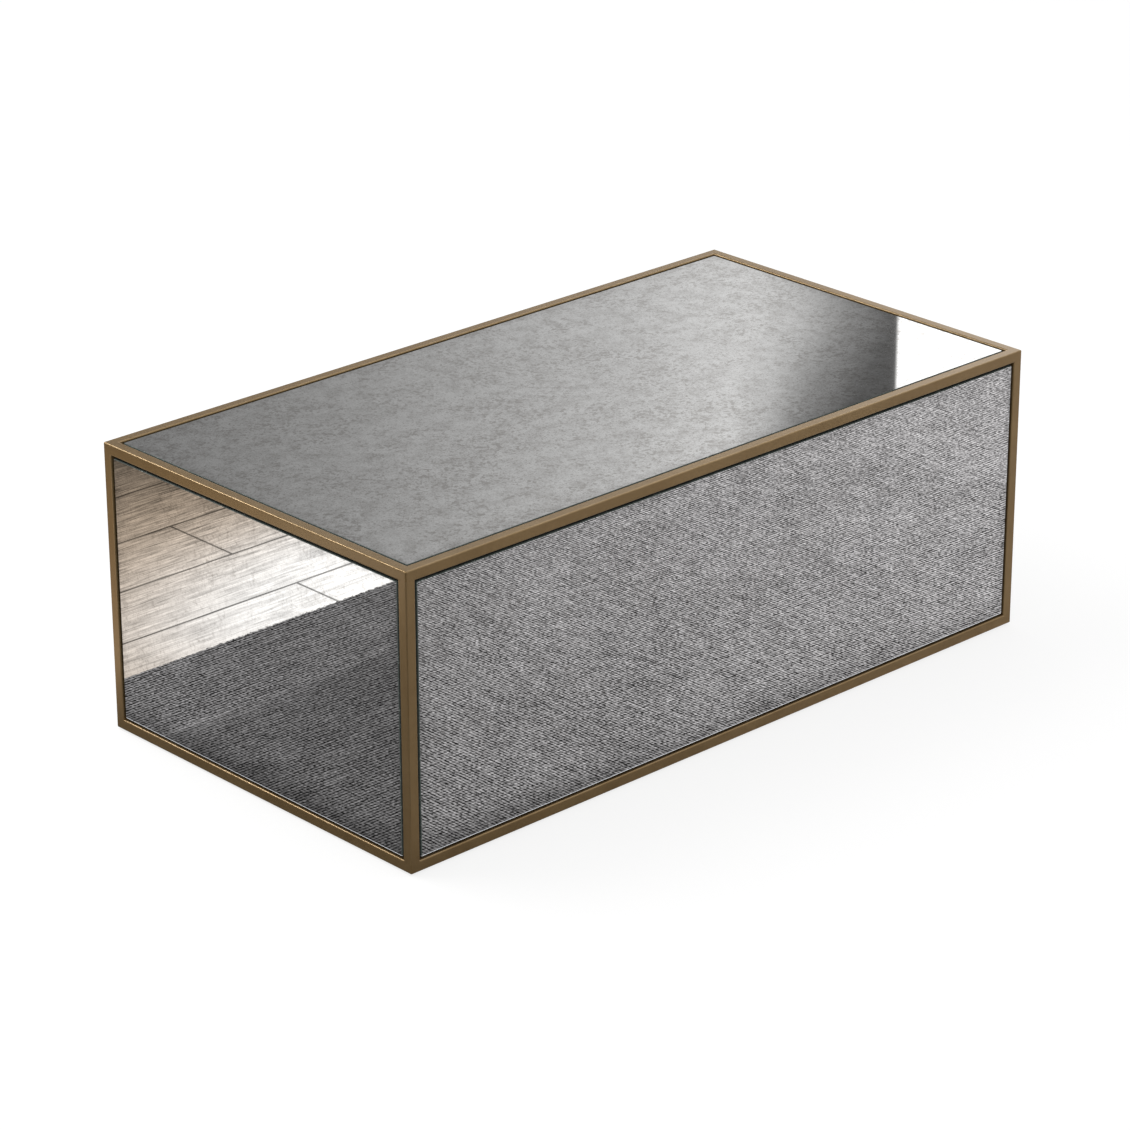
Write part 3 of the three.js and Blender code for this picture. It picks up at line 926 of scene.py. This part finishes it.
def makeFloorMaterial():
    # pale and even; seen from below it is clear, so that the underside can be looked at
    material, bench = bareMaterial("paleFloor")
    tone, share = roomLook["floorTone"], roomLook["shadowShare"]
    lit = bench.add("ShaderNodeBsdfDiffuse")
    lit.inputs["Color"].default_value = (tone * share, tone * share, tone * share, 1)
    glow = bench.add("ShaderNodeEmission")
    glow.inputs["Color"].default_value = (1, 1, 1, 1)
    glow.inputs["Strength"].default_value = tone * (1 - share) + 0.06
    both = bench.add("ShaderNodeAddShader")
    bench.join(lit.outputs[0], both.inputs[0])
    bench.join(glow.outputs[0], both.inputs[1])
    clear = bench.add("ShaderNodeBsdfTransparent")
    pick = bench.add("ShaderNodeMixShader")
    bench.join(bench.add("ShaderNodeNewGeometry").outputs["Backfacing"], pick.inputs[0])
    bench.join(both.outputs[0], pick.inputs[1])
    bench.join(clear.outputs[0], pick.inputs[2])
    bench.join(pick.outputs[0], bench.add("ShaderNodeOutputMaterial").inputs["Surface"])
    return material


def makeRoomFloorMaterial():
    # what the mirrors see of the room's floor: a woven grey rug, then pale planks, then grey
    material, bench = bareMaterial("roomFloor")
    place = bench.place()
    parts = bench.add("ShaderNodeSeparateXYZ")
    bench.join(place, parts.inputs[0])
    x, y = parts.outputs[0], parts.outputs[1]
    # weave: knots where two waves cross, pushed about by noise, with thread streaks both ways
    wobble = bench.times(bench.minus(bench.noise(place, 60.0, 2), 0.5), 3.2)
    pitchX, pitchY = roomLook["rugPitch"]
    waveX = bench.sums("SINE", bench.timesPlus(x, 2 * math.pi / pitchX, wobble))
    waveY = bench.sums("SINE", bench.timesPlus(y, 2 * math.pi / pitchY, wobble))
    atEnd = bench.ramp(x, -0.62, -0.58, 1.0, 0.0)  # past the left end the weft shows more
    rowShare = bench.timesPlus(atEnd, -0.36, 0.68)
    knots = bench.plus(bench.times(waveX, rowShare),
                       bench.times(waveY, bench.minus(1.0, rowShare)))
    speck = bench.times(bench.minus(bench.noise(place, 210.0, 2, 0.6), 0.5), 3.2)
    rows = bench.noise(bench.stretch(place, (1, 0.16, 1)), 110.0, 3, 0.6)
    picks = bench.noise(bench.stretch(place, (0.16, 1, 1)), 100.0, 3, 0.6)
    streak = bench.plus(bench.times(rows, rowShare),
                        bench.times(picks, bench.minus(1.0, rowShare)))
    streak = bench.minus(streak, 0.5)
    broad = bench.minus(bench.noise(place, 5.0, 3, 0.5), 0.5)
    near = bench.add("ShaderNodeVectorMath", operation="LENGTH")
    bench.join(place, near.inputs[0])
    fade = bench.ramp(near.outputs["Value"], 1.6, 4.5, 1.0, 0.0)
    weave = bench.times(knots, 1.05)
    weave = bench.plus(weave, bench.times(speck, 1.75))
    weave = bench.plus(weave, bench.times(streak, 2.8))
    weave = bench.times(weave, fade)
    weave = bench.plus(weave, bench.times(broad, 0.5))
    slope = bench.ramp(x, -0.9, 1.5, 0.185, 0.50, smooth=False)
    beside = bench.ramp(x, -0.62, -0.60, 0.70, 1.0)  # the table's own shade past its left end
    # beyond lifts the rug out of the table's painted shade past y = 0.24
    beyond = bench.ramp(y, 0.225, 0.255)
    beside = bench.sums("MAXIMUM", beside, bench.times(beyond, 0.95))
    slope = bench.times(slope, beside)
    # painted shade of the table: the rug darker off its front-left corner
    corner = bench.times(bench.ramp(x, -0.75, -0.55, 1.0, 0.0), bench.ramp(y, -0.5, -0.3, 1.0, 0.0))
    slope = bench.times(slope, bench.timesPlus(corner, -0.65, 1.0))
    # painted light: a lighter band of the rug along y = 0.243, where the table's painted shade ends
    ridge = bench.times(bench.ramp(bench.sums("ABSOLUTE", bench.minus(y, 0.243)),
                                   0.0, 0.035, 0.36, 0.0), bench.ramp(x, -1.0, -0.7, 0.2, 1.0))
    weave = bench.plus(weave, ridge)
    # the shade close to the table: distance outside its footprint
    halfX, halfY = frameHigh[0], frameHigh[1]
    outX = bench.sums("MAXIMUM", bench.minus(bench.sums("ABSOLUTE", x), halfX), 0.0)
    outY = bench.sums("MAXIMUM", bench.minus(bench.sums("ABSOLUTE", y), halfY), 0.0)
    away = bench.sums("SQRT", bench.plus(bench.times(outX, outX),
                                         bench.times(outY, outY)))
    shade = bench.ramp(away, 0.0, 0.11, bench.ramp(x, -0.35, 0.1, 0.48, 0.78), 1.0)
    rugTone = bench.times(slope, bench.plus(1.0, weave))
    rugTone = bench.sums("MAXIMUM", bench.times(rugTone, shade), 0.01)
    rugColor = bench.add("ShaderNodeCombineColor")
    for socket, tint in zip(rugColor.inputs, (1.0, 0.98, 1.0)):
        bench.join(bench.times(rugTone, tint), socket)
    # planks: grain lines along X, a dark line at every long joint and a few end joints
    strip = bench.sums("DIVIDE", bench.minus(y, roomLook["plankStart"]), roomLook["plankWidth"])
    stripEdge = bench.sums("ABSOLUTE", bench.minus(bench.sums("FRACT", bench.plus(strip, 0.5)), 0.5))
    longJoint = bench.ramp(stripEdge, 0.009, 0.019, 1.0, 0.0)
    odd = bench.sums("MODULO", bench.sums("FLOOR", bench.plus(strip, 40.0)), 2.0)
    alongStrip = bench.minus(x, roomLook["plankJoint"])
    alongStrip = bench.plus(alongStrip, bench.times(bench.minus(1.0, odd), 0.61))
    alongStrip = bench.sums("DIVIDE", alongStrip, roomLook["plankLength"])
    endEdge = bench.sums("ABSOLUTE", bench.minus(bench.sums("FRACT", bench.plus(alongStrip, 0.5)), 0.5))
    endJoint = bench.ramp(endEdge, 0.0011, 0.0024, 1.0, 0.0)
    grainPlace = bench.stretch(place, (0.10, 1, 1))
    grain = bench.noise(grainPlace, 85.0, 4, 0.65, 0.6)
    fineGrain = bench.noise(bench.stretch(place, (0.05, 1, 1)), 320.0, 3, 0.6)
    grainTone = bench.plus(bench.ramp(grain, 0.30, 0.62, 0.70, 1.04),
                           bench.times(bench.minus(fineGrain, 0.5),
                                       bench.ramp(y, 0.50, 0.95, 1.1, 3.2)))
    glareX = bench.sums("POWER", bench.sums("DIVIDE", bench.minus(x, -1.35), 0.72), 2.0)
    glareY = bench.sums("POWER", bench.sums("DIVIDE", bench.minus(y, 0.40), 0.42), 2.0)
    glare = bench.sums("EXPONENT", bench.times(bench.plus(glareX, glareY), -1.0))
    plankTone = bench.timesPlus(glare, 1.46, bench.ramp(x, -0.6, 0.8, 0.15, 0.34))
    plankTone = bench.times(plankTone, grainTone)
    joints = bench.sums("MAXIMUM", longJoint, endJoint)
    plankTone = bench.times(plankTone, bench.minus(1.0, bench.times(joints, 0.74)))
    plankTint = bench.mix(bench.ramp(glare, 0.1, 0.8), (1.0, 0.79, 0.60, 1), (1.0, 0.985, 0.97, 1))
    plankColor = bench.add("ShaderNodeVectorMath", operation="SCALE")
    bench.join(plankTint, plankColor.inputs[0])
    bench.join(plankTone, plankColor.inputs["Scale"])
    ragged = bench.times(bench.minus(bench.noise(place, 130.0, 3, 0.7), 0.5), 0.016)
    isPlank = bench.ramp(bench.plus(y, ragged), roomLook["rugEdge"] - 0.001, roomLook["rugEdge"] + 0.001)
    colour = bench.mix(isPlank, rugColor.outputs[0], plankColor.outputs[0])
    far = bench.ramp(near.outputs["Value"], 2.5, 7.0)
    colour = bench.mix(far, colour, roomLook["farGrey"])
    glow = bench.add("ShaderNodeEmission")
    bench.join(colour, glow.inputs["Color"])
    bench.join(glow.outputs[0], bench.add("ShaderNodeOutputMaterial").inputs["Surface"])
    return material


floor = stagePlane("floor", roomLook["floorSize"], 0.0, makeFloorMaterial())
floor.visible_glossy = False
roomFloor = stagePlane("room_floor", roomLook["floorSize"], 0.0002, makeRoomFloorMaterial())
roomFloor.visible_camera = False
roomFloor.visible_diffuse = False
roomFloor.visible_shadow = False
roomFloor.visible_transmission = False


def makeWorld():
    # white to the camera, soft white light on everything, and a grey studio in the mirrors
    world = bpy.data.worlds.new("studio")
    bpy.context.scene.world = world
    world.use_nodes = True
    world.node_tree.nodes.clear()
    bench = NodeBench(world.node_tree)
    toward = bench.add("ShaderNodeTexCoord").outputs["Generated"]
    parts = bench.add("ShaderNodeSeparateXYZ")
    bench.join(toward, parts.inputs[0])
    azimuth = bench.times(bench.sums("ARCTAN2", parts.outputs[0], parts.outputs[1]), 180 / math.pi)
    height = bench.times(bench.sums("ARCSINE", parts.outputs[2]), 180 / math.pi)
    # the wall behind: greyer to the left, brighter to the right, a dark fold, then a window
    wall = bench.add("ShaderNodeValToRGB")
    stops = ((20, 0.24), (37, 0.245), (40, 0.36), (42, 0.47), (44, 0.60), (45.2, 0.72), (46.0, 0.76),
             (46.7, 0.60), (47.3, 0.33), (48.1, 0.12))
    wallLow, wallHigh = 0.0, 60.0
    ramp = wall.color_ramp
    while len(ramp.elements) < len(stops):
        ramp.elements.new(0.5)
    for element, (angle, tone) in zip(ramp.elements, stops):
        element.position = (angle - wallLow) / (wallHigh - wallLow)
        element.color = (tone, tone, tone * 0.995, 1)
    bent = bench.plus(azimuth, bench.times(bench.sums("MAXIMUM", bench.minus(height, 19.7), 0.0),
                                           bench.ramp(azimuth, 44.5, 47.0, 0.0, 0.55)))
    bench.join(bench.sums("DIVIDE", bent, wallHigh), wall.inputs[0])
    window = bench.ramp(azimuth, 48.05, 48.12)
    window = bench.times(window, bench.ramp(azimuth, 72, 84, 1.0, 0.0))
    window = bench.times(window, bench.ramp(height, 48, 60, 1.0, 0.0))
    nearWall = bench.times(bench.ramp(azimuth, 5, 22), bench.ramp(azimuth, 50, 80, 1.0, 0.0))
    elsewhere = bench.ramp(height, 0, 70, 0.40, 0.66)
    for turns, start, swing in ((3, 20, 0.20), (7, 75, 0.08)):
        wave = bench.sums("SINE", bench.timesPlus(azimuth, math.radians(turns),
                                                  math.radians(start)))
        elsewhere = bench.timesPlus(wave, swing, elsewhere)
    tone = bench.add("ShaderNodeMix", data_type="FLOAT")
    bench.feed(tone.inputs[0], nearWall)
    bench.feed(tone.inputs[2], elsewhere)
    bench.feed(tone.inputs[3], wall.outputs[0])
    tone = bench.timesPlus(window, 1.6, tone.outputs[0])
    glossy = bench.add("ShaderNodeLightPath").outputs["Is Glossy Ray"]
    warmth = bench.mix(bench.ramp(parts.outputs[0], -0.7, 0.3), (1.0, 0.95, 0.87, 1), (1, 1, 1, 1))
    tinted = bench.add("ShaderNodeVectorMath", operation="SCALE")
    bench.join(warmth, tinted.inputs[0])
    bench.join(tone, tinted.inputs["Scale"])
    seen = bench.add("ShaderNodeBackground")
    bench.join(tinted.outputs[0], seen.inputs["Color"])
    plain = bench.add("ShaderNodeBackground")
    plain.inputs["Color"].default_value = (1, 1, 1, 1)
    pick = bench.add("ShaderNodeMixShader")
    bench.join(glossy, pick.inputs[0])
    bench.join(plain.outputs[0], pick.inputs[1])
    bench.join(seen.outputs[0], pick.inputs[2])
    bench.join(pick.outputs[0], bench.add("ShaderNodeOutputWorld").inputs["Surface"])


makeWorld()

# place, width, height, brightness, and whether it lights surfaces or is seen in reflections
lamps = {
    "softbox": ((-1.2, 1.6, 3.0), 2.4, 2.4, 3.3, "diffuse"),
    "windowBehind": ((-1.85, 2.90, 2.72), 1.5, 1.0, 10.0, "glossy"),
    "windowRight": ((2.4, -1.2, 2.9), 1.6, 1.6, 0.6, "glossy"),
    "windowLeft": ((-2.2, -2.2, 2.5), 1.6, 1.6, 0.7, "glossy"),
}
for name, (place, width, height, brightness, lights) in lamps.items():
    data = bpy.data.lights.new(name, "AREA")
    data.shape, data.size, data.size_y = "RECTANGLE", width, height
    data.energy = brightness * math.pi * width * height
    lamp = bpy.data.objects.new(name, data)
    lamp.location = place
    lamp.rotation_euler = (Vector((0, 0, 0.3)) - Vector(place)).to_track_quat("-Z", "Y").to_euler()
    lamp.visible_camera = False
    lamp.visible_glossy = lights == "glossy"
    lamp.visible_diffuse = lights == "diffuse"
    bpy.context.scene.collection.objects.link(lamp)

viewPoint = {
    "place": (-3.8067, -4.0289, 2.5359),
    "turn": 43.216,  # degrees from +Y towards +X
    "down": 23.07,
    "roll": -0.16,
    "lens": 132.4,
}
cameraData = bpy.data.cameras.new("camera")
cameraData.lens = viewPoint["lens"]
cameraData.sensor_width = 36
cameraData.clip_start, cameraData.clip_end = 0.05, 100
camera = bpy.data.objects.new("camera", cameraData)
bpy.context.scene.collection.objects.link(camera)
camera.matrix_world = (Matrix.Translation(viewPoint["place"])
                       @ Matrix.Rotation(math.radians(-viewPoint["turn"]), 4, "Z")
                       @ Matrix.Rotation(math.radians(90 - viewPoint["down"]), 4, "X")
                       @ Matrix.Rotation(math.radians(viewPoint["roll"]), 4, "Z"))
bpy.context.scene.camera = camera
bpy.context.scene.view_settings.view_transform = "Standard"

print("stage ready")
